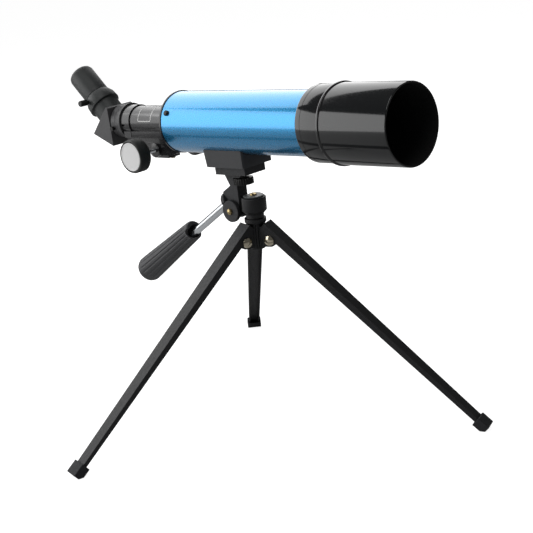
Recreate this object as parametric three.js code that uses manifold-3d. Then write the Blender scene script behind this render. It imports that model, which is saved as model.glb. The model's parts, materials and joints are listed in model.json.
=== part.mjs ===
// Tabletop refracting telescope on a folding three-leg stand.
// Units are millimetres, +Z is up, and the objective points along +X.
// The origin is on the table, under the middle of the object's bounding box.
import * as THREE from 'three';
import { mergeVertices } from 'three/addons/utils/BufferGeometryUtils.js';
import Module from 'manifold-3d';

const wasm = await Module();
wasm.setup();

const DEG = Math.PI / 180;
const GAP = 0.3; // clearance between pieces that touch
const RUNNING = 0.1; // radial clearance of a turning or sliding fit

// Placement: the stand's pan axis, and the tube axis above it
const PAN_AXIS = { x: 18.85, y: 33.65 };
const TUBE_AXIS_HEIGHT = 274.33;
const TUBE_PITCH = 4.52 * DEG;

// Optical tube, measured along its own axis from the pan axis
const TUBE_R = 28.5;
const TUBE_BORE = 27.5;
const TUBE_BACK = -84.5;
const TUBE_FRONT = 106;
const CELL_R = 33.25;
const CELL_BACK = 90.4;
const CELL_FRONT = 115.3;
const NECK_R = 32.15;
const NECK_FRONT = 125;
const LENS_R = 25.5;
const LENS_BACK = 109.2;
const SHIELD_R = 34.1;
const SHIELD_BORE = 32.5;
const SHIELD_FRONT = 187.5;
const BEAD_R = 35.2;

// Focuser
const PLATE_R = 29.2;
const PLUG_R = 27.2;
const PLUG_FRONT = -74;
const BARREL_OUTER_R = 15;
const REAR_COLLAR_R = 16.1;
const HOUSING_BACK = -159.7;
const DRAWTUBE_R = 13.2;
const DRAWTUBE_BORE = 12.35;
const COLLAR_FRONT = -160;
const COLLAR_BACK = -176;
const PINION = { x: -116.5, z: -25 };
const PITCH_R = 6;
const PINION_TEETH = 12;
const PINION_ADDENDUM = 0.9;
const RACK_ADDENDUM = 0.7;
const TOOTH_CLEARANCE = 0.35;
const TOOTH_HALF = Math.PI / 4 - 0.2;
const PRESSURE_ANGLE = 20 * DEG;
const SHAFT_R = 2;
const KNOB_R = 16;
const KNOB_BACK = 31.7;
const KNOB_FACE = 44.7;
const INLAY_R = 13.5;

// Diagonal and eyepiece: the light path turns up and back at the elbow
const ELBOW_X = -185;
const ELBOW_TURN = 45 * DEG;
const DIAGONAL_FACE = 7.6;
const DIAGONAL_HALF = 16;
const NOSE_R = 12.25;
const HOLDER_SCREW_AT = 30.6;
const EYEPIECE_R = 12.9;

// Saddle, tilting platform and handle, in the tube's own frame
const SADDLE_HALF = 18.3;
const SADDLE_BOTTOM = -38.1;
const PLATFORM_SCREW_X = -14.7;
const TILT_PIVOT = { x: -28.5, z: -81.3 };
const ARM_HALF = 6;
const TONGUE_HALF = 2.3;
const HANDLE_ROOT = { x: -35.6, z: -73.55 };
const HANDLE_SLOPE = 30.8 * DEG;
const ROD_R = 3.9;

// Stand, in the pan axis frame
const PIVOT_X = -22;
const PIVOT_Z = 191;
const HUB_TOP = 186;
const LEG_PIVOT = { r: 15.8, z: 167 };
const LEG_SLOPE = 40.1 * DEG;
const LEG_AZIMUTHS = { left: -100.56 * DEG, right: 19.44 * DEG, rear: 139.44 * DEG };
const RIVET_R = 2.4;

const LOOKS = {
  blue: { color: 0x4f9fd6, roughness: 0.22, metalness: 0.55 },
  gloss_black: { color: 0x1c1c1f, roughness: 0.25, metalness: 0 },
  matte_black: { color: 0x3a3a3e, roughness: 0.7, metalness: 0 },
  grey_plastic: { color: 0x66676b, roughness: 0.6, metalness: 0 },
  powder_coat: { color: 0x222326, roughness: 0.6, metalness: 0.3 },
  chrome: { color: 0xcfd4d8, roughness: 0.12, metalness: 1 },
  nickel: { color: 0xc4b68e, roughness: 0.18, metalness: 1 },
  brass: { color: 0xb59a5a, roughness: 0.25, metalness: 1 },
  glass: { color: 0xcfe3e6, roughness: 0.02, metalness: 0 },
  inlay: { color: 0xf1f1f2, roughness: 0.35, metalness: 0 },
  rubber: { color: 0x2c2c2f, roughness: 0.9, metalness: 0 },
};

// --- Geometry helpers ---

function toManifold(geometry) {
  const plain = geometry.clone();
  plain.deleteAttribute('normal');
  plain.deleteAttribute('uv');
  const merged = mergeVertices(plain, 1e-4);
  return new wasm.Manifold(new wasm.Mesh({
    numProp: 3,
    vertProperties: new Float32Array(merged.attributes.position.array),
    triVerts: new Uint32Array(merged.index.array),
  }));
}

function toGeometry(manifold) {
  const mesh = manifold.getMesh();
  const geometry = new THREE.BufferGeometry();
  geometry.setAttribute('position', new THREE.BufferAttribute(mesh.vertProperties, 3));
  geometry.setIndex(new THREE.BufferAttribute(mesh.triVerts, 1));
  return geometry;
}

function combine(base, { add = [], cut = [] }) {
  let result = toManifold(base);
  for (const piece of add) {
    result = result.add(toManifold(piece));
  }
  for (const piece of cut) {
    result = result.subtract(toManifold(piece));
  }
  return toGeometry(result);
}

// Solid of revolution about Z from [radius, z] points, given upwards on the outside
function turnZ(points, segments = 32) {
  const profile = points.map(([r, z]) => new THREE.Vector2(r, z));
  return new THREE.LatheGeometry(profile, segments).rotateX(Math.PI / 2);
}

// Solid of revolution about X from [x, radius] points
function turnX(points, segments = 32) {
  return turnZ(points.map(([x, r]) => [r, x]), segments).rotateY(Math.PI / 2);
}

function rodZ(z0, z1, r, segments = 24) {
  return turnZ([[0, z0], [r, z0], [r, z1], [0, z1]], segments);
}

function rodX(x0, x1, r, segments = 24) {
  return rodZ(x0, x1, r, segments).rotateY(Math.PI / 2);
}

function rodY(y0, y1, r, segments = 24) {
  return rodZ(y0, y1, r, segments).rotateX(-Math.PI / 2);
}

function tubeX(x0, x1, outer, inner, segments = 48) {
  return turnX([[x0, inner], [x0, outer], [x1, outer], [x1, inner], [x0, inner]], segments);
}

function box(x0, x1, y0, y1, z0, z1) {
  const middle = [(x0 + x1) / 2, (y0 + y1) / 2, (z0 + z1) / 2];
  return new THREE.BoxGeometry(x1 - x0, y1 - y0, z1 - z0).translate(...middle);
}

function extrude(outline, depth) {
  const shape = new THREE.Shape(outline.map(([a, b]) => new THREE.Vector2(a, b)));
  return new THREE.ExtrudeGeometry(shape, { depth, bevelEnabled: false });
}

// Plate with an outline in X and Z, from y0 to y1
function plateY(outline, y0, y1) {
  return extrude(outline, y1 - y0).rotateX(Math.PI / 2).translate(0, y1, 0);
}

// Bar with an outline in Y and Z, from x0 to x1
function barX(outline, x0, x1) {
  return extrude(outline, x1 - x0).rotateX(Math.PI / 2).rotateZ(Math.PI / 2).translate(x0, 0, 0);
}

function arc(cx, cy, r, from, to, steps) {
  return Array.from({ length: steps + 1 }, (_, i) => {
    const angle = from + (to - from) * i / steps;
    return [cx + r * Math.cos(angle), cy + r * Math.sin(angle)];
  });
}

// Outline with shallow teeth all round, for a knurled edge
function knurl(teeth, inner, outer) {
  const points = [];
  for (let i = 0; i < teeth; i++) {
    for (const [offset, r] of [[-0.3, inner], [-0.15, outer], [0.15, outer], [0.3, inner]]) {
      const angle = (i + offset) * 2 * Math.PI / teeth;
      points.push([r * Math.cos(angle), r * Math.sin(angle)]);
    }
  }
  return points;
}

function part(parent, name, look, geometry) {
  const mesh = new THREE.Mesh(geometry, new THREE.MeshStandardMaterial(LOOKS[look]));
  mesh.name = name;
  parent.add(mesh);
}

function frame(parent, x, y, z, turnY = 0, turnZAxis = 0) {
  const group = new THREE.Group();
  group.position.set(x, y, z);
  group.rotation.set(0, turnY, turnZAxis, 'ZYX');
  parent.add(group);
  return group;
}

// --- Optical tube ---

function addTube(tube) {
  part(tube, 'main_tube', 'blue', tubeX(TUBE_BACK, TUBE_FRONT, TUBE_R, TUBE_BORE, 60));
  const edge = TUBE_BORE - GAP;
  part(tube, 'tube_baffle', 'matte_black', turnX(
    [[10, 20], [10, edge], [18, edge], [18, edge - 1], [11, edge - 1], [11, 20], [10, 20]], 32));
  part(tube, 'objective_cell', 'gloss_black', turnX([
    [CELL_BACK, TUBE_R + GAP], [CELL_BACK, CELL_R - 0.9], [CELL_BACK + 0.9, CELL_R],
    [CELL_FRONT, CELL_R], [CELL_FRONT, NECK_R], [NECK_FRONT, NECK_R], [NECK_FRONT, 30.2],
    [LENS_BACK + 8.5, 30.2], [LENS_BACK + 8.5, LENS_R + GAP], [LENS_BACK - GAP, LENS_R + GAP],
    [LENS_BACK - GAP, 23.8], [TUBE_FRONT + GAP, 23.8], [TUBE_FRONT + GAP, TUBE_R + GAP],
    [CELL_BACK, TUBE_R + GAP]], 48));
  part(tube, 'dew_shield', 'gloss_black', turnX([
    [CELL_FRONT + GAP, SHIELD_BORE], [CELL_FRONT + GAP, BEAD_R - 0.6], [CELL_FRONT + 0.9, BEAD_R],
    [CELL_FRONT + 2.1, BEAD_R], [CELL_FRONT + 2.7, SHIELD_R], [SHIELD_FRONT - 0.4, SHIELD_R],
    [SHIELD_FRONT, SHIELD_R - 0.4], [SHIELD_FRONT, SHIELD_BORE],
    [CELL_FRONT + GAP, SHIELD_BORE]], 56));
  addLenses(tube);
}

// Lens about X, each face bulging outwards at the middle by its own amount
function lens(x0, x1, r, backBulge, frontBulge, segments = 32) {
  const steps = [0, 0.35, 0.7, 1];
  const back = steps.map((t) => [x0 - backBulge * (1 - t * t), r * t]);
  const front = steps.map((t) => [x1 + frontBulge * (1 - t * t), r * t]).reverse();
  return turnX([...back, ...front], segments);
}

function addLenses(tube) {
  const spacer = LENS_BACK + 3 + GAP;
  part(tube, 'flint_lens', 'glass', lens(LENS_BACK, LENS_BACK + 3, LENS_R, -0.6, -1.4));
  part(tube, 'lens_spacer', 'matte_black', tubeX(spacer, spacer + 0.5, LENS_R, 24));
  part(tube, 'crown_lens', 'glass', lens(spacer + 0.8, spacer + 3.4, LENS_R, 0, 1.8));
  part(tube, 'lens_retainer', 'gloss_black', turnX([
    [spacer + 3.7, 24], [spacer + 3.7, LENS_R], [LENS_BACK + 8.8, LENS_R], [LENS_BACK + 8.8, 29.9],
    [LENS_BACK + 10.3, 29.9], [LENS_BACK + 10.3, 24], [spacer + 3.7, 24]], 36));
}

// --- Focuser ---

function addFocuserHousing(tube) {
  const plate = TUBE_BACK - GAP;
  const barrel = turnX([
    [HOUSING_BACK, 0], [HOUSING_BACK, REAR_COLLAR_R - 0.4], [HOUSING_BACK + 0.6, REAR_COLLAR_R],
    [-147.5, REAR_COLLAR_R], [-147, BARREL_OUTER_R], [-89, BARREL_OUTER_R], [-87.4, 17],
    [-87, 28.4], [-86.4, PLATE_R], [plate, PLATE_R], [plate, PLUG_R], [PLUG_FRONT, PLUG_R],
    [PLUG_FRONT, 0]], 48);
  const chin = [[-140, -18], [-123, -30], [-96, -30], [-86, -27.5], [-86, -18]];
  const boss = rodY(-15, 15, 7, 28).translate(PINION.x, 0, PINION.z);
  const pocket = rodY(-4, 4, 7.6, 28).translate(PINION.x, 0, PINION.z);
  const bore = rodY(-20, 20, SHAFT_R + RUNNING, 24).translate(PINION.x, 0, PINION.z);
  const coverSeat = box(-127, -106, -7.6, 7.6, -36, -30);
  const screwHoles = [-124.5, -108.5].map((x) => rodZ(-36, -26, 1.3, 12).translate(x, 0, 0));
  part(tube, 'focuser_housing', 'gloss_black', combine(barrel, {
    add: [
      box(-157.5, -86.5, -15.2, 15.2, -13.4, -7.3),
      box(-156, -86.5, -14, 14, -18.7, -13.4),
      plateY(chin, -13, 13),
      boss,
    ],
    cut: [
      rodX(HOUSING_BACK - 1, PLUG_FRONT + 1, DRAWTUBE_R + RUNNING, 48),
      rodX(plate + 3, PLUG_FRONT + 1, 25.4, 40),
      box(HOUSING_BACK - 1, PLUG_FRONT + 1, -3.6, 3.6, -20.5, 0),
      pocket,
      box(PINION.x - 7.6, PINION.x + 7.6, -4, 4, -36, PINION.z),
      bore,
      coverSeat,
      ...screwHoles,
      tubeX(-147.6, -146.7, 30, 14.5, 40),
      box(-158.6, -153, -18, -14.6, -2.4, -0.2),
      box(-112, -105, -18, -14, -5.7, -3.2),
    ],
  }));
  addPinionCover(tube, pocket);
  addTubeScrews(tube);
}

// Cover under the gear pocket, held by two small screws
function addPinionCover(tube, pocket) {
  const cover = box(-126.7, -106.3, -7.3, 7.3, -34.2, -30.3);
  const holes = [-124.5, -108.5].map((x) => rodZ(-36, -28, 1.5, 12).translate(x, 0, 0));
  part(tube, 'pinion_cover', 'gloss_black', combine(cover, { cut: [pocket, ...holes] }));
  for (const [i, x] of [-124.5, -108.5].entries()) {
    const screw = turnZ([[0, -35.5], [2.1, -35.5], [2.5, -34.9], [2.5, -34.5], [1.1, -34.5],
      [1.1, -26.6], [0, -26.6]], 16);
    part(tube, `pinion_cover_screw_${i + 1}`, 'nickel', screw.translate(x, 0, 0));
  }
}

// Three screws through the tube hold the focuser plug
function addTubeScrews(tube) {
  for (const [i, around] of [63, 183, 303].entries()) {
    const screw = turnZ([[0, 28.8], [2.6, 28.8], [2.6, 29.9], [1.9, 30.5], [0, 30.5]], 20);
    part(tube, `focuser_screw_${i + 1}`, 'gloss_black',
      screw.translate(-77.5, 0, 0).rotateX(around * DEG));
  }
}

// Involute pinion outline about the origin, one tooth pointing up
function pinionOutline() {
  const base = PITCH_R * Math.cos(PRESSURE_ANGLE);
  const root = PITCH_R - RACK_ADDENDUM - GAP;
  const tip = PITCH_R + PINION_ADDENDUM;
  const involute = (r) => Math.tan(Math.acos(base / r)) - Math.acos(base / r);
  const half = (r) => TOOTH_HALF / PITCH_R + involute(PITCH_R) - involute(Math.max(r, base));
  const side = [root, base, PITCH_R, (PITCH_R + tip) / 2, tip].map((r) => [r, half(r)]);
  const tooth = [...side.map(([r, a]) => [r, a]), ...side.map(([r, a]) => [r, -a]).reverse()];
  const points = [];
  for (let i = 0; i < PINION_TEETH; i++) {
    const centre = Math.PI / 2 - i * 2 * Math.PI / PINION_TEETH;
    for (const [r, a] of tooth) {
      points.push([r * Math.cos(centre + a), r * Math.sin(centre + a)]);
    }
  }
  return points.reverse();
}

function addPinion(tube) {
  const pinion = frame(tube, PINION.x, 0, PINION.z);
  part(pinion, 'pinion_shaft', 'chrome', combine(plateY(pinionOutline(), -3.4, 3.4), {
    add: [rodY(-KNOB_FACE + 3, KNOB_FACE - 3, SHAFT_R, 24)],
  }));
  for (const [side, sign] of [['near', 1], ['far', -1]]) {
    part(pinion, `focus_knob_${side}`, 'rubber', knobGeometry().rotateX(sign * Math.PI / 2));
    const inlay = turnZ([[0, KNOB_FACE - 0.9], [INLAY_R, KNOB_FACE - 0.9], [INLAY_R, KNOB_FACE],
      [INLAY_R - 0.7, KNOB_FACE + 0.2], [0, KNOB_FACE + 0.2]], 32);
    part(pinion, `knob_inlay_${side}`, 'inlay', inlay.rotateX(sign * Math.PI / 2));
  }
}

// Focus knob about Z with a knurled rim and a round seat for the inlay
function knobGeometry() {
  const rim = extrude(knurl(32, KNOB_R - 0.45, KNOB_R), KNOB_FACE - KNOB_BACK - 3)
    .translate(0, 0, KNOB_BACK + 1.5);
  const core = turnZ([[0, KNOB_BACK], [14.6, KNOB_BACK], [15.4, KNOB_BACK + 1.6],
    [15.4, KNOB_FACE - 1.6], [15.2, KNOB_FACE], [0, KNOB_FACE]], 32);
  return combine(core, {
    add: [rim],
    cut: [
      rodZ(KNOB_FACE - 1.2, KNOB_FACE + 1, INLAY_R + GAP, 32),
      rodZ(KNOB_BACK - 1, KNOB_FACE - 2.7, SHAFT_R + GAP, 24),
    ],
  });
}

function addDrawtube(tube) {
  part(tube, 'draw_tube', 'chrome', tubeX(COLLAR_FRONT - 3, -68, DRAWTUBE_R, DRAWTUBE_BORE, 48));
  part(tube, 'focus_rack', 'brass', plateY(rackOutline(), -3.1, 3.1));
  part(tube, 'drawtube_collar', 'matte_black', combine(turnX([
    [COLLAR_BACK, 0], [COLLAR_BACK, 15.4], [COLLAR_BACK + 0.5, 15.9], [-170.4, 15.9],
    [-170, 16.2], [-161, 17.7], [COLLAR_FRONT, 17.7], [COLLAR_FRONT, 0]], 40), {
    cut: [
      rodX(COLLAR_FRONT - 3 - GAP, -150, DRAWTUBE_R + GAP, 48),
      rodX(-180, -150, DRAWTUBE_BORE, 48),
      rodY(-20, 0, 1.6, 16).translate(-172.4, 0, -4.5),
    ],
  }));
  part(tube, 'collar_screw', 'powder_coat', combine(rodY(-19, -16.2, 2.3, 16), {
    add: [rodY(-17, -12.8, 1.3, 16)],
  }).translate(-172.4, 0, -4.5));
}

// Rack under the drawtube, a gap over the pinion's top tooth at rest
function rackOutline() {
  const line = PINION.z + PITCH_R;
  const root = line + PINION_ADDENDUM + TOOTH_CLEARANCE;
  const tip = line - RACK_ADDENDUM;
  const slope = Math.tan(PRESSURE_ANGLE);
  const wide = TOOTH_HALF + (root - line) * slope;
  const narrow = TOOTH_HALF - (line - tip) * slope;
  const points = [[-159.5, -DRAWTUBE_R - GAP], [-159.5, root]];
  for (let i = -12; i < 14; i++) {
    const x = PINION.x + (i + 0.5) * Math.PI;
    points.push([x - wide, root], [x - narrow, tip], [x + narrow, tip], [x + wide, root]);
  }
  points.push([-69.5, root], [-69.5, -DRAWTUBE_R - GAP]);
  return points;
}

// --- Diagonal and eyepiece ---

// Triangular outline of the diagonal, its front and top faces at a distance from the elbow
function diagonalOutline(face, chamfer, drop) {
  const c = Math.cos(ELBOW_TURN);
  const s = Math.sin(ELBOW_TURN);
  const top = (out) => [-face * c + out * s, face * s + out * c];
  return [[face, -drop], [face, chamfer], top(chamfer), top(-drop)];
}

function addDiagonal(tube) {
  const elbow = frame(tube, ELBOW_X, 0, 0);
  const up = (geometry) => geometry.rotateY(Math.PI + ELBOW_TURN);
  const shell = plateY(diagonalOutline(DIAGONAL_FACE, 15.2, 22.1), -DIAGONAL_HALF, DIAGONAL_HALF);
  const room = plateY(diagonalOutline(DIAGONAL_FACE - 2, 12.6, 16.6), -13.4, 13.4);
  part(elbow, 'diagonal_housing', 'grey_plastic', combine(shell, {
    cut: [room, rodX(0, 12, 10.6, 32), up(rodX(0, 12, 10.6, 32))],
  }));
  part(elbow, 'diagonal_prism', 'glass',
    plateY(diagonalOutline(DIAGONAL_FACE - 2.4, 11.6, 15.4), -13, 13));
  const face = DIAGONAL_FACE + GAP;
  part(elbow, 'diagonal_nose', 'chrome', turnX([
    [face, 10.8], [face, 13.6], [face + 0.8, 13.6], [face + 0.8, NOSE_R], [36, NOSE_R],
    [36.5, NOSE_R - 0.5], [36.5, 10.8], [face, 10.8]], 40));
  addEyepieceHolder(elbow, up);
  addEyepiece(elbow, up);
}

function addEyepieceHolder(elbow, up) {
  const bore = NOSE_R + RUNNING;
  const holder = turnX([
    [DIAGONAL_FACE + GAP, bore], [DIAGONAL_FACE + GAP, 13.7], [21.2, 13.7], [21.5, 15.9],
    [22, 16.2], [29, 15.6], [34.8, 13.1], [34.8, bore], [DIAGONAL_FACE + GAP, bore]], 40);
  part(elbow, 'eyepiece_holder', 'matte_black', up(combine(holder, {
    cut: [rodY(-22, 0, 1.75, 16).translate(HOLDER_SCREW_AT, 0, 0)],
  })));
  const screw = turnZ([[0, 12.7], [1.5, 12.7], [1.5, 16.6], [2.6, 16.9], [3, 17.6], [3, 25.2],
    [2.5, 26], [0, 26]], 20);
  part(elbow, 'holder_thumbscrew', 'rubber',
    up(screw.rotateX(Math.PI / 2).translate(HOLDER_SCREW_AT, 0, 0)));
}

function addEyepiece(elbow, up) {
  part(elbow, 'eyepiece_barrel', 'chrome', up(tubeX(12, 38, NOSE_R, 11.2, 40)));
  part(elbow, 'eyepiece_body', 'matte_black', up(combine(turnX([
    [35.1, 0], [35.1, EYEPIECE_R - 0.4], [35.5, EYEPIECE_R], [63.6, EYEPIECE_R],
    [66, EYEPIECE_R - 0.9], [67.4, EYEPIECE_R - 2.4], [67.8, EYEPIECE_R - 4], [67.8, 0]], 36), {
    cut: [
      rodX(30, 38.3, NOSE_R + GAP, 48),
      rodX(30, 60, 10.2, 32),
      turnX([[59, 0], [59, 5.6], [64.5, 5.6], [69, 8.6], [69, 0]], 32),
    ],
  })));
  part(elbow, 'field_lens', 'glass', up(lens(41, 43.4, 9.9, 0, 1.6, 28)));
  part(elbow, 'eye_lens', 'glass', up(lens(55.2, 57.4, 9.9, 1.4, 0, 28)));
}

// --- Saddle, tilting platform and handle ---

function addSaddle(tube) {
  const body = plateY([[-41, SADDLE_BOTTOM], [7, SADDLE_BOTTOM], [7, -20], [-43.5, -20]],
    -SADDLE_HALF, SADDLE_HALF);
  const trim = [-1, 1].map((side) => box(-3, 3, -3, 3, -50, 0)
    .rotateZ(45 * DEG).translate(8.4, side * (SADDLE_HALF + 1.4), 0));
  const thread = rodZ(-42, -30.6, 3.3, 20).translate(PLATFORM_SCREW_X, 0, 0);
  part(tube, 'saddle_block', 'matte_black', combine(body, {
    cut: [rodX(-60, 30, TUBE_R + GAP, 60), ...trim, thread],
  }));
}

// Platform plate and the arm below it, bored for the handle, in one casting
function addPlatform(tube) {
  const pivot = TILT_PIVOT;
  const plate = plateY([[-36.6, -38.4], [-36.6, -46], [1.8, -46], [1.8, -38.4]], -13, 13);
  const outline = [
    [-10.7, -44], [-12.4, -48.8], [-18.6, -53.2], [-19.2, -73.3],
    ...arc(pivot.x, pivot.z, 8.5, 20 * DEG, -149 * DEG, 14), [pivot.x, pivot.z],
    [-38.8, -64.3], [-27.8, -57.8], [-32.9, -48], [-32.9, -44]];
  const rodHole = rodX(-9.3, 5, ROD_R + RUNNING, 28).rotateY(Math.PI - HANDLE_SLOPE)
    .translate(HANDLE_ROOT.x, 0, HANDLE_ROOT.z);
  part(tube, 'tilt_platform', 'matte_black', combine(plate, {
    add: [plateY(outline, -ARM_HALF, ARM_HALF)],
    cut: [
      tongueSlot(),
      rodHole,
      rodY(-20, 20, 2.7, 24).translate(pivot.x, 0, pivot.z),
      rodZ(-57.3, -50.3, 9.6, 32).translate(PLATFORM_SCREW_X, 0, 0),
      rodZ(-52, -30, 3.5, 24).translate(PLATFORM_SCREW_X, 0, 0),
    ],
  }));
  addPlatformScrew(tube);
  addHandle(tube);
}

// Slot in the arm for the pan column's tongue, open to the front and below
function tongueSlot() {
  const { x, z } = TILT_PIVOT;
  return box(x - 8.3, x + 30, -TONGUE_HALF - GAP, TONGUE_HALF + GAP, z - 20, z + 13);
}

function addPlatformScrew(tube) {
  const wheel = extrude(knurl(24, 8.6, 9), 6).translate(0, 0, -56.8);
  part(tube, 'platform_screw', 'powder_coat', combine(rodZ(-52, -32, 3, 20), { add: [wheel] })
    .translate(PLATFORM_SCREW_X, 0, 0));
}

function addHandle(tube) {
  const handle = frame(tube, HANDLE_ROOT.x, 0, HANDLE_ROOT.z, Math.PI - HANDLE_SLOPE);
  part(handle, 'handle_rod', 'chrome', turnX([[-8.9, 0], [-8.9, 3.4], [-8.4, ROD_R],
    [149.5, ROD_R], [150, 3.4], [150, 0]], 28));
  const collar = turnX([[-1.6, ROD_R + RUNNING], [-1.6, 9.4], [-1, 10], [2.8, 10], [3.4, 9.4],
    [3.4, ROD_R + RUNNING], [-1.6, ROD_R + RUNNING]], 28);
  const aroundPivot = (geometry) => geometry.translate(-2.13, 0, 10.3);
  part(handle, 'lock_collar', 'powder_coat', combine(collar, {
    cut: [
      box(-3, 5, -TONGUE_HALF - GAP, TONGUE_HALF + GAP, 2, 12),
      aroundPivot(rodY(-12, -ARM_HALF, 10.7, 36)),
      aroundPivot(rodY(ARM_HALF, 12, 5, 24)),
      aroundPivot(rodY(-12, 12, 2.9, 24)),
    ],
  }));
  part(handle, 'handle_grip', 'matte_black', gripGeometry());
}

// Tapered hand grip, fluted along its length, rounded at the back and notched at its mouth.
// It sits a little above the rod's axis; the handle's local Z points downwards.
function gripGeometry() {
  const lift = -2.6;
  const body = turnX([[66, 0], [66, 8.6], [67.5, 9.4], [110, 11.4], [146, 13.6], [156, 13.4],
    [161, 11.4], [164, 7.6], [165, 3], [165, 0]], 36).translate(0, 0, lift);
  const flutes = [];
  for (let i = 0; i < 12; i++) {
    const groove = rodX(72, 158, 0.9, 6).rotateZ(2.9 * DEG).translate(0, 9.6 - 3.6, 0);
    flutes.push(groove.rotateX((i + 0.5) * 30 * DEG).translate(0, 0, lift));
  }
  return combine(body, {
    cut: [
      ...flutes,
      rodX(60, 150 + GAP, ROD_R + GAP, 28),
      rodX(60, 76, 6.4, 28),
      rodY(-20, 20, 5.5, 28).translate(65, 0, 0),
      rodY(-20, 20, 1.6, 16).translate(157, 0, lift),
    ],
  });
}

// --- Pan head, hub and legs ---

function addPanHead(stand) {
  const column = turnZ([[0, HUB_TOP + GAP], [8.3, HUB_TOP + GAP], [8.3, 190.3], [11.4, 193.5],
    [11.4, 205.4], [10.8, 206], [0, 206]], 48);
  const trimmed = combine(column, {
    cut: [box(-20, -6.5, -15, 15, 180, 210), rodZ(180, 210, 2.8, 24)],
  });
  const tongue = [[-5, 186.8], [-5, 196.5], [-18, 196.5],
    ...arc(PIVOT_X, PIVOT_Z, 6, 60 * DEG, 220 * DEG, 10), [-25, 186.8]];
  part(stand, 'pan_column', 'powder_coat', combine(trimmed, {
    add: [plateY(tongue, -TONGUE_HALF, TONGUE_HALF)],
    cut: [rodY(-5, 5, 2.8, 24).translate(PIVOT_X, 0, PIVOT_Z)],
  }));
  const flat = box(-20, -6.5, -15, 15, 200, 210);
  part(stand, 'pan_washer', 'grey_plastic', combine(turnZ([[0, 206.3], [9.3, 206.3], [9.3, 207.2],
    [9, 207.5], [0, 207.5]], 40), { cut: [flat, rodZ(200, 210, 2.8, 24)] }));
  addTiltBolt(stand);
}

// Textured disc, its through bolt and the nut on the far side
function addTiltBolt(stand) {
  const pivot = frame(stand, PIVOT_X, 0, PIVOT_Z);
  const disc = turnZ([[0, 6.4], [9.9, 6.4], [10.3, 6.8], [10.3, 9.5], [9.8, 10], [0, 10]], 36);
  part(pivot, 'tilt_disc', 'matte_black', combine(disc, { cut: [rodZ(0, 12, 2.8, 24)] })
    .rotateX(Math.PI / 2));
  const bolt = turnZ([[0, -12], [2.5, -12], [2.5, 10.3], [3, 10.3], [2.8, 11.4], [1.8, 12.3],
    [0, 12.7]], 24);
  part(pivot, 'tilt_bolt', 'brass', bolt.rotateX(Math.PI / 2));
  const nut = combine(rodY(6.5, 9.5, 4.4, 6), { cut: [rodY(5, 11, 2.8, 24)] });
  part(pivot, 'tilt_nut', 'nickel', nut);
}

function addHub(stand) {
  const core = turnZ([[0, 157.5], [7.2, 157.5], [7.5, 158.2], [7.5, 180.6], [10, 182.5],
    [10, HUB_TOP], [0, HUB_TOP]], 36);
  const lugs = [];
  const cuts = [rodZ(172, 190, RIVET_R + GAP, 24)];
  for (const azimuth of Object.values(LEG_AZIMUTHS)) {
    const { r, z } = LEG_PIVOT;
    const outline = [[0, 160], [r, z - 6.5], ...arc(r, z, 6.5, -80 * DEG, 40 * DEG, 8),
      [15.6, 176.2], [12.4, 178.9], [0, 178.9]];
    lugs.push(plateY(outline, -5.9, 5.9).rotateZ(azimuth));
    for (const turn of [46, 60, 74]) {
      lugs.push(box(5, 9, -0.6, 0.6, 158.5, 183).rotateZ(azimuth + turn * DEG));
    }
    cuts.push(rodY(-10, 10, RIVET_R + GAP, 20).translate(r, 0, z).rotateZ(azimuth));
  }
  part(stand, 'hub_casting', 'powder_coat', combine(core, { add: lugs, cut: cuts }));
  part(stand, 'pan_screw', 'brass', turnZ([[0, 174], [2.5, 174], [2.5, 207.8], [3.2, 207.8],
    [3, 208.5], [1.9, 209], [0, 209.2]], 24));
}

function addLeg(stand, name, azimuth) {
  const side = frame(stand, 0, 0, 0, 0, azimuth);
  const half = [[RIVET_R, 7.7], [4.9, 7.7], [4.6, 8.5], [3.2, 9.2], [0, 9.5]];
  const mirrored = half.map(([r, z]) => [r, -z]).reverse();
  part(side, `leg_rivet_${name}`, 'nickel', turnZ([...mirrored, ...half], 24)
    .rotateX(Math.PI / 2).translate(LEG_PIVOT.r, 0, LEG_PIVOT.z));
  const leg = frame(side, LEG_PIVOT.r, 0, LEG_PIVOT.z, LEG_SLOPE);
  part(leg, `leg_${name}`, 'powder_coat', legGeometry());
  part(leg, `foot_${name}`, 'rubber', footGeometry());
}

// Folded sheet channel, open to the inside, with a round ear on each side at the pivot
function legGeometry() {
  const wall = 1.2;
  const ear = [[-9, 3], ...arc(0, 0, 5.2, 180 * DEG, 360 * DEG, 12), [9, 3]];
  const ears = plateY(ear, -7.4, 7.4);
  return combine(channelBlank(0), {
    add: [ears],
    cut: [channelBlank(wall), box(-8, 8, -7.4 + wall, 7.4 - wall, -8, 4), rodY(-10, 10, 2.7, 20)],
  });
}

// Straight bar that tapers like the leg, shrunk by an inset on the sides and the top
function channelBlank(inset) {
  const x0 = -13.2 - inset;
  const x1 = 252 + (inset ? 1 : 0);
  const bar = box(x0, x1, -1, 1, 0, 1);
  const position = bar.attributes.position;
  for (let i = 0; i < position.count; i++) {
    const t = (position.getX(i) + 13.2) / 265.2;
    const bottom = 1.9 - 4.2 * t - (inset ? 9 : 0);
    const top = 9.5 - 7.9 * t - inset;
    const half = 7.4 - 1.9 * t - inset;
    const z = position.getZ(i) > 0.5 ? top : bottom;
    position.setXYZ(i, position.getX(i), position.getY(i) * half, z);
  }
  return bar;
}

// Rubber cap over the end of a leg, its sole flat on the table
function footGeometry() {
  const cap = box(244.2, 256.6, -7.2, 7.2, -5.5, 4);
  const socket = box(240, 252 + GAP, -5.6 - GAP, 5.6 + GAP, -2.4 - GAP, 1.8 + GAP);
  const table = box(-60, 60, -20, 20, -40, 0)
    .translate(250 * Math.cos(LEG_SLOPE), 0, -LEG_PIVOT.z)
    .rotateY(-LEG_SLOPE);
  return combine(cap, { cut: [socket, table] });
}

// --- Whole object ---

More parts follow.
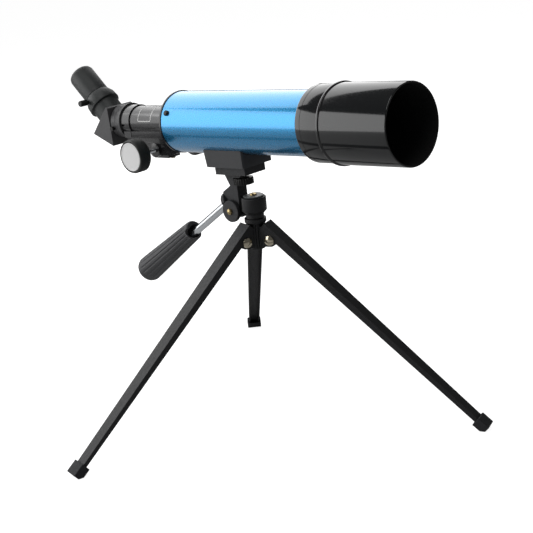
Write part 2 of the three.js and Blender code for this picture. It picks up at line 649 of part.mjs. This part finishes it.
const telescope = new THREE.Group();
const stand = frame(telescope, PAN_AXIS.x, PAN_AXIS.y, 0);
const tube = frame(stand, 0, 0, TUBE_AXIS_HEIGHT, -TUBE_PITCH);
addTube(tube);
addFocuserHousing(tube);
addPinion(tube);
addDrawtube(tube);
addDiagonal(tube);
addSaddle(tube);
addPlatform(tube);
addPanHead(stand);
addHub(stand);
for (const [name, azimuth] of Object.entries(LEG_AZIMUTHS)) {
  addLeg(stand, name, azimuth);
}

export default telescope;
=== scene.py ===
"""Looks for the tabletop telescope: skins over the CAD frame, materials, light and camera."""

import json
import math

import bmesh
import bpy
from mathutils import Matrix, Vector


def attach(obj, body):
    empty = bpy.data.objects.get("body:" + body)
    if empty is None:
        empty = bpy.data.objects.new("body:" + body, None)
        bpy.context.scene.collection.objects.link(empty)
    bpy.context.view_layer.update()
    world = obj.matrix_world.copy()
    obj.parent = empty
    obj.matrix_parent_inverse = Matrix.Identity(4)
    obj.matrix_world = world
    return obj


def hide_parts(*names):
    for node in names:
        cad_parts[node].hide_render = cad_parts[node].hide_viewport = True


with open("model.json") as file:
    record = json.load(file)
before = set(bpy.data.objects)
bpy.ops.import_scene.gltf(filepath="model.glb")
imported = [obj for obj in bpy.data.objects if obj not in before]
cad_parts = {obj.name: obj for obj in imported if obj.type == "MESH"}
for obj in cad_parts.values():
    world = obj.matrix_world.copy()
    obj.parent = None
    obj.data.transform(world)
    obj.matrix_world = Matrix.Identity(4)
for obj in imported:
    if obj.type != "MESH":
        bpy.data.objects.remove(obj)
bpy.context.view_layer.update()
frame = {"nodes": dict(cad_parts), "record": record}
MM = 0.001

# Body that carries the tube, its cell and the focuser housing
TUBE_BODY = "tube"


# Directions and points of the axes, from the part's joints
joints = {j["name"]: j for j in frame["record"]["behaviour"]["joints"]}
tube_dir = Vector(joints["dew_shield_slide"]["axis"]).normalized()
rod_dir = Vector(joints["handle_twist"]["axis"]).normalized()
pinion_at = Vector(joints["focus_knob_turn"]["pos_m"])
rod_at = Vector(joints["handle_twist"]["pos_m"])
# The point of the tube's axis above the pan axis
tube_at = Vector(joints["diagonal_turn"]["pos_m"]) + tube_dir * 0.170


def basis(origin, x_axis, y_axis=(0, 1, 0)):
    """Matrix whose X follows x_axis, with Y as near to y_axis as it can be."""
    x = Vector(x_axis).normalized()
    y = Vector(y_axis)
    y = (y - x * y.dot(x)).normalized()
    z = x.cross(y)
    matrix = Matrix((x, y, z)).transposed().to_4x4()
    matrix.translation = origin
    return matrix


TUBE = basis(tube_at, tube_dir)
ROD = basis(rod_at, rod_dir)


# Studio: camera roll in degrees, strengths without unit, reach of the floor in metres
CAMERA_ROLL = -5.04
WORLD_LIGHT = 0.1
FLOOR_GLOW = 0.93
FLOOR_REACH = 6
# Segments round the tube, its cell and the dew shield
TUBE_SEGMENTS = 160


# --- Materials ---

def new_material(name):
    material = bpy.data.materials.new(name)
    material.use_nodes = True
    tree = material.node_tree
    return material, tree, tree.nodes["Principled BSDF"]


def noise(tree, coords, scale, detail=4.0, rough=0.6):
    node = tree.nodes.new("ShaderNodeTexNoise")
    node.inputs["Scale"].default_value = scale
    node.inputs["Detail"].default_value = detail
    node.inputs["Roughness"].default_value = rough
    tree.links.new(coords, node.inputs["Vector"])
    return node.outputs["Fac"]


def spread(tree, value, low, high, start=0.3, end=0.7):
    node = tree.nodes.new("ShaderNodeMapRange")
    node.inputs["From Min"].default_value = start
    node.inputs["From Max"].default_value = end
    node.inputs["To Min"].default_value = low
    node.inputs["To Max"].default_value = high
    tree.links.new(value, node.inputs["Value"])
    return node.outputs["Result"]


def mix(tree, factor, a, b):
    node = tree.nodes.new("ShaderNodeMix")
    node.data_type = "RGBA"
    tree.links.new(factor, node.inputs["Factor"])
    node.inputs["A"].default_value = (*a, 1)
    node.inputs["B"].default_value = (*b, 1)
    return node.outputs["Result"]


def edge_wear(tree, radius, strength):
    """Brighter value on convex edges: how far the bevelled normal leaves the true one."""
    bevel = tree.nodes.new("ShaderNodeBevel")
    bevel.samples = 4
    bevel.inputs["Radius"].default_value = radius
    geometry = tree.nodes.new("ShaderNodeNewGeometry")
    dot = tree.nodes.new("ShaderNodeVectorMath")
    dot.operation = "DOT_PRODUCT"
    tree.links.new(bevel.outputs["Normal"], dot.inputs[0])
    tree.links.new(geometry.outputs["Normal"], dot.inputs[1])
    node = tree.nodes.new("ShaderNodeMapRange")
    node.inputs["From Min"].default_value = 0.995
    node.inputs["From Max"].default_value = 0.8
    node.inputs["To Min"].default_value = 0.0
    node.inputs["To Max"].default_value = strength
    tree.links.new(dot.outputs["Value"], node.inputs["Value"])
    return node.outputs["Result"]


def finish_material(name, base, worn, rough, metal=0.0, grain=None, coat=0.0, wear=0.5, mottle=0.12,
                    specular=0.5, edge=0.0004):
    """Plastic, paint or metal with slow mottling, fine roughness changes, grain and rubbed edges."""
    material, tree, shader = new_material(name)
    coords = tree.nodes.new("ShaderNodeTexCoord").outputs["Object"]
    slow = noise(tree, coords, 38.0, 5.0)
    fine = noise(tree, coords, 900.0, 3.0)
    darker = tuple(c * (1 - mottle) for c in base)
    lighter = tuple(min(1.0, c * (1 + mottle)) for c in base)
    body = mix(tree, spread(tree, slow, 0.0, 1.0), darker, lighter)
    wear_mix = tree.nodes.new("ShaderNodeMix")
    wear_mix.data_type = "RGBA"
    tree.links.new(edge_wear(tree, edge, wear), wear_mix.inputs["Factor"])
    tree.links.new(body, wear_mix.inputs["A"])
    wear_mix.inputs["B"].default_value = (*worn, 1)
    tree.links.new(wear_mix.outputs["Result"], shader.inputs["Base Color"])
    tree.links.new(spread(tree, fine, rough * 0.85, min(1.0, rough * 1.2)), shader.inputs["Roughness"])
    shader.inputs["Metallic"].default_value = metal
    shader.inputs["Specular IOR Level"].default_value = specular
    shader.inputs["Coat Weight"].default_value = coat
    shader.inputs["Coat Roughness"].default_value = 0.06
    if grain:
        scale, depth = grain
        bump = tree.nodes.new("ShaderNodeBump")
        bump.inputs["Strength"].default_value = 0.8
        bump.inputs["Distance"].default_value = depth
        tree.links.new(noise(tree, coords, scale, 3.0), bump.inputs["Height"])
        tree.links.new(bump.outputs["Normal"], shader.inputs["Normal"])
    return material


def glass_material():
    material, tree, shader = new_material("coated_glass")
    coords = tree.nodes.new("ShaderNodeTexCoord").outputs["Object"]
    shader.inputs["Base Color"].default_value = (0.86, 0.95, 0.93, 1)
    shader.inputs["Transmission Weight"].default_value = 1.0
    shader.inputs["IOR"].default_value = 1.5
    shader.inputs["Coat Weight"].default_value = 0.5
    shader.inputs["Coat Tint"].default_value = (0.6, 0.85, 0.75, 1)
    tree.links.new(spread(tree, noise(tree, coords, 300.0), 0.01, 0.04), shader.inputs["Roughness"])
    return material


MATERIALS = {
    "tube_paint": finish_material("tube_paint", (0.03, 0.31, 0.63), (0.25, 0.5, 0.7), 0.27, 0.8,
                                  None, coat=1.0, wear=0.1, mottle=0.01),
    "gloss_black": finish_material("gloss_black", (0.006, 0.007, 0.008), (0.08, 0.08, 0.08), 0.12, 0.0,
                                   (900.0, 0.000005), coat=0.6, wear=0.4),
    "focuser_black": finish_material("focuser_black", (0.012, 0.012, 0.014), (0.12, 0.12, 0.12), 0.24,
                                     0.0, (1500.0, 0.00002), coat=0.35, wear=0.6),
    "screw_black": finish_material("screw_black", (0.012, 0.012, 0.012), (0.2, 0.2, 0.2), 0.35, 0.4,
                                   (2000.0, 0.00002)),
    "inner_black": finish_material("inner_black", (0.004, 0.004, 0.004), (0.01, 0.01, 0.01), 0.9),
    "glass": glass_material(),
    "collar_plastic": finish_material("collar_plastic", (0.055, 0.055, 0.058), (0.2, 0.2, 0.2), 0.45,
                                      0.0, (1800.0, 0.00003)),
    "diagonal_plastic": finish_material("diagonal_plastic", (0.075, 0.075, 0.078), (0.22, 0.22, 0.22),
                                        0.55, 0.0, (2200.0, 0.00005)),
    "holder_plastic": finish_material("holder_plastic", (0.03, 0.034, 0.034), (0.16, 0.17, 0.17), 0.48,
                                      0.0, (2200.0, 0.00004)),
    "eyepiece_plastic": finish_material("eyepiece_plastic", (0.022, 0.025, 0.025), (0.15, 0.16, 0.16),
                                        0.5, 0.0, (2200.0, 0.00004)),
    "knob_plastic": finish_material("knob_plastic", (0.012, 0.014, 0.013), (0.1, 0.11, 0.105), 0.42,
                                    0.0, (2500.0, 0.00003)),
    "knob_inlay": finish_material("knob_inlay", (0.86, 0.86, 0.86), (0.95, 0.95, 0.95), 0.35, 0.0,
                                  (1800.0, 0.00001), mottle=0.02),
    "chrome": finish_material("chrome", (0.78, 0.81, 0.84), (0.9, 0.9, 0.9), 0.16, 1.0,
                              (1200.0, 0.000006), mottle=0.03),
    "nickel": finish_material("nickel", (0.66, 0.6, 0.47), (0.85, 0.8, 0.7), 0.1, 1.0,
                              (1400.0, 0.000005), mottle=0.05),
    "brass": finish_material("brass", (0.55, 0.43, 0.22), (0.8, 0.7, 0.45), 0.24, 1.0,
                             (1400.0, 0.00001), mottle=0.08),
    "saddle_plastic": finish_material("saddle_plastic", (0.03, 0.031, 0.035), (0.2, 0.21, 0.22), 0.42,
                                      0.0, (1700.0, 0.00005)),
    "head_plastic": finish_material("head_plastic", (0.03, 0.031, 0.034), (0.16, 0.16, 0.17), 0.6,
                                    0.0, (1300.0, 0.00014)),
    "washer_grey": finish_material("washer_grey", (0.075, 0.085, 0.085), (0.2, 0.22, 0.22), 0.4, 0.0,
                                   (1800.0, 0.00003)),
    "powder_coat": finish_material("powder_coat", (0.014, 0.0145, 0.016), (0.09, 0.09, 0.095), 0.5,
                                   0.1, (1100.0, 0.00018)),
    "grip_plastic": finish_material("grip_plastic", (0.055, 0.056, 0.06), (0.16, 0.16, 0.17), 0.5,
                                    0.0, (1900.0, 0.00005)),
    "foot_rubber": finish_material("foot_rubber", (0.022, 0.023, 0.026), (0.08, 0.08, 0.085), 0.75,
                                   0.0, (1500.0, 0.0001)),
    "print_white": finish_material("print_white", (0.75, 0.75, 0.74), (0.85, 0.85, 0.85), 0.5),
}


# --- Mesh helpers ---

def add_object(name, mesh, body, look, smooth_angle=35):
    obj = bpy.data.objects.new(name, mesh)
    bpy.context.scene.collection.objects.link(obj)
    mesh.materials.clear()
    mesh.materials.append(MATERIALS[look])
    for polygon in mesh.polygons:
        polygon.use_smooth = True
    mesh.set_sharp_from_angle(angle=math.radians(smooth_angle))
    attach(obj, body)
    return obj


SLOT_OF = {s["node"]: s["material_slot"] for s in frame["record"]["subparts"]}
BODY_OF = {n: b for b, nodes in frame["record"]["behaviour"]["bodies"].items() for n in nodes}


def skin(node, bevel=0.0004, segments=2):
    """Copy of a CAD node with joined faces, softened edges and smooth shading."""
    mesh = frame["nodes"][node].data.copy()
    bm = bmesh.new()
    bm.from_mesh(mesh)
    bmesh.ops.remove_doubles(bm, verts=bm.verts, dist=0.000005)
    bmesh.ops.dissolve_limit(bm, angle_limit=math.radians(1.0), verts=bm.verts, edges=bm.edges)
    bm.to_mesh(mesh)
    bm.free()
    obj = add_object(node + "_skin", mesh, BODY_OF[node], SLOT_OF[node])
    if bevel:
        modifier = obj.modifiers.new("edges", "BEVEL")
        modifier.width = bevel
        modifier.segments = segments
        modifier.limit_method = "ANGLE"
        modifier.angle_limit = math.radians(35)
        modifier.harden_normals = True
    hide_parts(node)
    return obj


def turned(name, matrix, profile, body, look, segments=128):
    """Closed solid of revolution about the matrix's X axis from (x, r) points in millimetres."""
    bm = bmesh.new()
    rings = []
    for x, r in profile:
        if r < 1e-6:
            rings.append([bm.verts.new(matrix @ Vector((x * MM, 0, 0)))])
            continue
        ring = []
        for i in range(segments):
            a = 2 * math.pi * i / segments
            ring.append(bm.verts.new(matrix @ Vector((x * MM, r * MM * math.cos(a), r * MM * math.sin(a)))))
        rings.append(ring)
    for a, b in zip(rings, rings[1:]):
        for i in range(segments):
            j = (i + 1) % segments
            quad = [a[i % len(a)], a[j % len(a)], b[j % len(b)], b[i % len(b)]]
            bm.faces.new(list(dict.fromkeys(quad)))
    bmesh.ops.recalc_face_normals(bm, faces=bm.faces)
    mesh = bpy.data.meshes.new(name)
    bm.to_mesh(mesh)
    bm.free()
    return add_object(name, mesh, body, look)


def blacken_inside(obj, matrix, radius, start):
    """Gives faces inside a radius and beyond a distance along the axis the flat black finish."""
    inverse = matrix.inverted()
    obj.data.materials.append(MATERIALS["inner_black"])
    for polygon in obj.data.polygons:
        point = inverse @ polygon.center
        if math.hypot(point.y, point.z) < radius * MM and point.x > start * MM:
            polygon.material_index = 1


def closed(points):
    return points + points[:1]


# --- Skins over the CAD pieces ---

def dress_nodes():
    soft = {
        "saddle_block": 0.0008, "tilt_platform": 0.0007, "diagonal_housing": 0.0007,
        "foot_left": 0.0012, "foot_right": 0.0012, "foot_rear": 0.0012,
        "leg_left": 0.0004, "leg_right": 0.0004, "leg_rear": 0.0004,
        "hub_casting": 0.0004, "pan_column": 0.0006, "lock_collar": 0.0004,
        "drawtube_collar": 0.0003, "eyepiece_holder": 0.0003, "eyepiece_body": 0.0003,
        "platform_screw": 0.0003, "focuser_housing": 0.0003, "pan_washer": 0.0002,
        "tilt_disc": 0.0003, "pinion_cover": 0.0005, "holder_thumbscrew": 0.0002,
        "collar_screw": 0.0002, "tilt_nut": 0.0002, "handle_rod": 0.0,
        "diagonal_nose": 0.0, "draw_tube": 0.0, "eyepiece_barrel": 0.0, "pinion_shaft": 0.0,
        "tilt_bolt": 0.0, "pan_screw": 0.0, "leg_rivet_left": 0.0, "leg_rivet_right": 0.0,
        "leg_rivet_rear": 0.0, "focuser_screw_1": 0.0001, "focuser_screw_2": 0.0001,
        "focuser_screw_3": 0.0001, "lens_retainer": 0.0002, "crown_lens": 0.0,
    }
    for node, bevel in soft.items():
        skin(node, bevel)
    for node, obj in frame["nodes"].items():
        obj.data.materials.clear()
        obj.data.materials.append(MATERIALS[SLOT_OF[node]])


def build_tube():
    tube = turned("main_tube_skin", TUBE, closed([
        (-84.5, 27.5), (-84.5, 28.3), (-84.3, 28.5), (105.8, 28.5), (106, 28.3), (106, 27.5)]),
        TUBE_BODY, "tube_paint", TUBE_SEGMENTS)
    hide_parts("main_tube")
    cell = turned("objective_cell_skin", TUBE, closed([
        (90.4, 28.8), (90.4, 32.3), (90.7, 32.8), (91.2, 33.15), (91.8, 33.25), (96.0, 33.25),
        (96.2, 33.05), (96.6, 33.05), (96.8, 33.25), (114.6, 33.25), (115.1, 33.1), (115.3, 32.8),
        (115.3, 32.15), (125, 32.15), (125, 30.2), (117.7, 30.2), (117.7, 25.8), (108.9, 25.8),
        (108.9, 23.8), (106.3, 23.8), (106.3, 28.8)]), TUBE_BODY, "gloss_black", TUBE_SEGMENTS)
    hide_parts("objective_cell")
    shield = turned("dew_shield_skin", TUBE, closed([
        (115.6, 32.5), (115.6, 34.7), (115.8, 35.05), (116.2, 35.2), (117.4, 35.2), (117.8, 35.05),
        (118.1, 34.5), (118.4, 34.15), (119.0, 34.1), (186.8, 34.1), (187.3, 33.95), (187.5, 33.6),
        (187.5, 32.9), (187.3, 32.6), (186.9, 32.5)]), "dew_shield", "gloss_black", TUBE_SEGMENTS)
    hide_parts("dew_shield")
    blacken_inside(shield, TUBE, 32.8, 110)
    blacken_inside(cell, TUBE, 32.0, 110)


def build_knobs():
    """Knobs with fine knurling, in place of the CAD's coarser one."""
    for side, sign in (("near", -1), ("far", 1)):
        matrix = basis(pinion_at, (0, sign, 0), (1, 0, 0))
        ribs, back, face = 84, 31.7, 44.7
        profile = [(back, 2.3), (back, 13.9), (back + 0.3, 14.7), (back + 1.2, 15.3), (back + 1.7, 15.9),
                   (face - 1.9, 15.9), (face - 1.3, 15.5), (face - 0.5, 15.3), (face, 15.0),
                   (face, 13.8), (face - 1.2, 13.8), (face - 1.2, 2.3)]
        bm = bmesh.new()
        rings = []
        for x, r in closed(profile):
            ring = []
            for i in range(ribs * 4):
                a = 2 * math.pi * i / (ribs * 4)
                cut = 0.32 if r == 15.9 and i % 4 == 0 else 0.0
                radius = (r - cut) * MM
                point = Vector((x * MM, radius * math.cos(a), radius * math.sin(a)))
                ring.append(bm.verts.new(matrix @ point))
            rings.append(ring)
        for a, b in zip(rings, rings[1:]):
            for i in range(ribs * 4):
                j = (i + 1) % (ribs * 4)
                bm.faces.new((a[i], a[j], b[j], b[i]))
        bmesh.ops.remove_doubles(bm, verts=bm.verts, dist=1e-7)
        bmesh.ops.recalc_face_normals(bm, faces=bm.faces)
        mesh = bpy.data.meshes.new("knob_" + side)
        bm.to_mesh(mesh)
        bm.free()
        knob = add_object(f"focus_knob_{side}_skin", mesh, "pinion", "knob_plastic")
        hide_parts("focus_knob_" + side)
        inlay = turned(f"knob_inlay_{side}_skin", matrix, [
            (face - 0.9, 0), (face - 0.9, 13.5), (face - 0.1, 13.5), (face + 0.1, 13.35),
            (face + 0.2, 13.0), (face + 0.2, 12.5), (face - 0.05, 12.2), (face - 0.1, 0)],
            "pinion", "knob_inlay", 96)
        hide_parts("knob_inlay_" + side)


def grip_radius(x):
    """Radius of the grip at a distance along the rod, in millimetres."""
    stations = [(66, 8.4), (67.2, 9.2), (70, 9.6), (110, 11.2), (150, 12.9), (158.5, 13.1), (161, 12.3),
                (163.5, 10.2), (164.6, 8.8), (165, 7.4)]
    for (x0, r0), (x1, r1) in zip(stations, stations[1:]):
        if x <= x1:
            return r0 + (r1 - r0) * (x - x0) / (x1 - x0)
    return stations[-1][1]


def build_grip():
    """Fluted hand grip with a hollow, notched mouth."""
    around, flutes, lift = 224, 16, -2.6
    steps = [66 + 0.6 * i for i in range(8)] + [71 + 2.0 * i for i in range(43)]
    steps += [157 + 0.5 * i for i in range(17)]
    bm = bmesh.new()
    rings = []
    for x in steps:
        ring = []
        fade = min(1.0, max(0.0, (x - 69) / 6)) * min(1.0, max(0.0, (157 - x) / 6))
        for i in range(around):
            a = 2 * math.pi * i / around
            rib = 0.5 + 0.5 * math.cos(flutes * a)
            r = grip_radius(x) - 0.7 * fade * (1 - rib) ** 5
            ring.append(bm.verts.new((x * MM, r * MM * math.cos(a), (r * math.sin(a) + lift) * MM)))
        rings.append(ring)
    for x, r in ((66, 6.4), (76, 6.4), (76, 4.2)):
        inner = []
        for i in range(around):
            a = 2 * math.pi * i / around
            z = r * math.sin(a) + (lift * 0.5 if r > 5 else 0)
            inner.append(bm.verts.new((x * MM, r * MM * math.cos(a), z * MM)))
        rings.insert(0, inner)
    for a, b in zip(rings, rings[1:]):
        for i in range(around):
            j = (i + 1) % around
            bm.faces.new((a[i], a[j], b[j], b[i]))
    bm.faces.new(rings[0])
    bm.faces.new(rings[-1])
    bmesh.ops.recalc_face_normals(bm, faces=bm.faces)
    notch = [v for v in bm.verts if v.co.x < 0.0701]
    for v in notch:
        side = abs(v.co.z) / 0.0055
        if side < 1.0:
            v.co.x += 0.0058 * math.sqrt(1 - side * side) * (1 - (v.co.x - 0.066) / 0.005 * 0.8)
    bm.transform(ROD)
    mesh = bpy.data.meshes.new("grip")
    bm.to_mesh(mesh)
    bm.free()
    grip = add_object("handle_grip_skin", mesh, "handle", "grip_plastic", 50)
    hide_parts("handle_grip")


def strip(name, points, width, lift, matrix, radius, body, look):
    """Thin printed line on a cylinder through (x, angle in degrees) points."""
    bm = bmesh.new()
    previous = None
    for k, (x, angle) in enumerate(points):
        a = points[max(0, k - 1)]
        b = points[min(len(points) - 1, k + 1)]
        along = Vector((b[0] - a[0], math.radians(b[1] - a[1]) * radius)).normalized()
        side = Vector((-along.y, along.x)) * width / 2
        pair = []
        for sign in (1, -1):
            px = x + side.x * sign
            pa = math.radians(angle) + side.y * sign / radius
            r = (radius + lift) * MM
            pair.append(bm.verts.new(matrix @ Vector((px * MM, -r * math.cos(pa), r * math.sin(pa)))))
        if previous:
            bm.faces.new((previous[0], previous[1], pair[1], pair[0]))
        previous = pair
    mesh = bpy.data.meshes.new(name)
    bm.to_mesh(mesh)
    bm.free()
    return add_object(name, mesh, body, look)


def build_print():
    """Plain printed outline on the focuser barrel."""
    left, right, low, high = -134.6, -116.2, 10.5, 99
    corner = 1.6
    outline = [(left, a) for a in range(high, 16, -4)]
    outline += [(left + corner * (1 - math.cos(t)), low + 6 * (1 - math.sin(t)))
                for t in (0.4, 0.8, 1.2, 1.57)]
    outline += [(left + 4 + 3 * i, low) for i in range(4)]
    outline += [(right - corner * (1 - math.cos(t)), low + 6 * (1 - math.sin(t)))
                for t in (1.57, 1.2, 0.8, 0.4)]
    outline += [(right, a) for a in range(17, high, 4)]
    strip("focuser_print", outline, 0.75, 0.04, TUBE, 15.0, TUBE_BODY, "print_white")


dress_nodes()
build_tube()
build_print()
build_knobs()
build_grip()


# --- Floor, light and camera ---

def camera_only(tree, seen, unseen):
    """Mixes two shaders: the first for what the camera sees directly, the second for all else."""
    path = tree.nodes.new("ShaderNodeLightPath")
    mixer = tree.nodes.new("ShaderNodeMixShader")
    tree.links.new(path.outputs["Is Camera Ray"], mixer.inputs["Fac"])
    tree.links.new(unseen, mixer.inputs[1])
    tree.links.new(seen, mixer.inputs[2])
    return mixer.outputs["Shader"]


def build_world():
    """Dim even light all round, with white behind the object."""
    world = bpy.data.worlds.new("studio")
    bpy.context.scene.world = world
    world.use_nodes = True
    tree = world.node_tree
    dim = tree.nodes["Background"]
    dim.inputs["Color"].default_value = (1, 1, 1, 1)
    dim.inputs["Strength"].default_value = WORLD_LIGHT
    white = tree.nodes.new("ShaderNodeBackground")
    white.inputs["Color"].default_value = (1, 1, 1, 1)
    white.inputs["Strength"].default_value = 1.05
    shader = camera_only(tree, white.outputs["Background"], dim.outputs["Background"])
    tree.links.new(shader, tree.nodes["World Output"].inputs["Surface"])


def flat_sheet(name, corners, z):
    bm = bmesh.new()
    bm.faces.new([bm.verts.new((x, y, z)) for x, y in corners])
    mesh = bpy.data.meshes.new(name)
    bm.to_mesh(mesh)
    bm.free()
    sheet = bpy.data.objects.new(name, mesh)
    bpy.context.scene.collection.objects.link(sheet)
    return sheet


def build_floor():
    """Floor that looks white to the camera and lights the object as a mid-grey one."""
    floor = flat_sheet("floor", [(-FLOOR_REACH, -FLOOR_REACH), (FLOOR_REACH, -FLOOR_REACH),
                                (FLOOR_REACH, FLOOR_REACH), (-FLOOR_REACH, FLOOR_REACH)], 0)
    material, tree, shader = new_material("floor")
    shader.inputs["Base Color"].default_value = (0.5, 0.5, 0.5, 1)
    shader.inputs["Roughness"].default_value = 0.9
    glow = tree.nodes.new("ShaderNodeEmission")
    glow.inputs["Strength"].default_value = FLOOR_GLOW
    lit = tree.nodes.new("ShaderNodeAddShader")
    tree.links.new(shader.outputs["BSDF"], lit.inputs[0])
    tree.links.new(glow.outputs["Emission"], lit.inputs[1])
    out = camera_only(tree, lit.outputs["Shader"], shader.outputs["BSDF"])
    tree.links.new(out, tree.nodes["Material Output"].inputs["Surface"])
    floor.data.materials.append(material)
    build_reflected_edge()


def build_reflected_edge():
    """Dark strip on the floor that only reflections show, like the edge of a studio table."""
    left, right, near, far = -1.2, 0.5, -0.27, -0.20
    corners = [(left, near), (right, near), (right, far), (left, far)]
    edge = flat_sheet("reflected_edge", corners, 0.001)
    dark, _, dark_shader = new_material("reflected_edge")
    dark_shader.inputs["Base Color"].default_value = (0.01, 0.01, 0.01, 1)
    edge.data.materials.append(dark)
    edge.visible_camera = False
    edge.visible_diffuse = False
    edge.visible_shadow = False


def soft_light(name, place, aim, size, power, tall=None):
    data = bpy.data.lights.new(name, "AREA")
    data.shape = "RECTANGLE"
    data.size = size
    data.size_y = tall or size
    data.energy = power
    light = bpy.data.objects.new(name, data)
    light.location = place
    light.rotation_euler = (Vector(aim) - Vector(place)).to_track_quat("-Z", "Y").to_euler()
    bpy.context.scene.collection.objects.link(light)


def build_camera():
    data = bpy.data.cameras.new("camera")
    camera = bpy.data.objects.new("camera", data)
    bpy.context.scene.collection.objects.link(camera)
    data.lens = 84.9
    data.sensor_width = 36
    place = Vector((0.81365, -0.72815, 0.5045))
    aim = Vector((0.02787, 0.03365, 0.14023))
    turn = (aim - place).to_track_quat("-Z", "Y").to_matrix().to_4x4()
    roll = Matrix.Rotation(math.radians(CAMERA_ROLL), 4, "Z")
    camera.matrix_world = Matrix.Translation(place) @ turn @ roll
    bpy.context.scene.camera = camera
    bpy.context.scene.view_settings.view_transform = "Standard"


build_world()
build_floor()
soft_light("left", (-1.15, -1.2, 0.55), (0, 0, 0.25), 2.4, 21, 1.4)
soft_light("behind", (-1.15, 0.45, 1.0), (0, 0, 0.25), 2.0, 15, 1.3)
soft_light("overhead", (0.1, -0.5, 1.5), (0, 0, 0.25), 0.9, 5, 0.9)
build_camera()
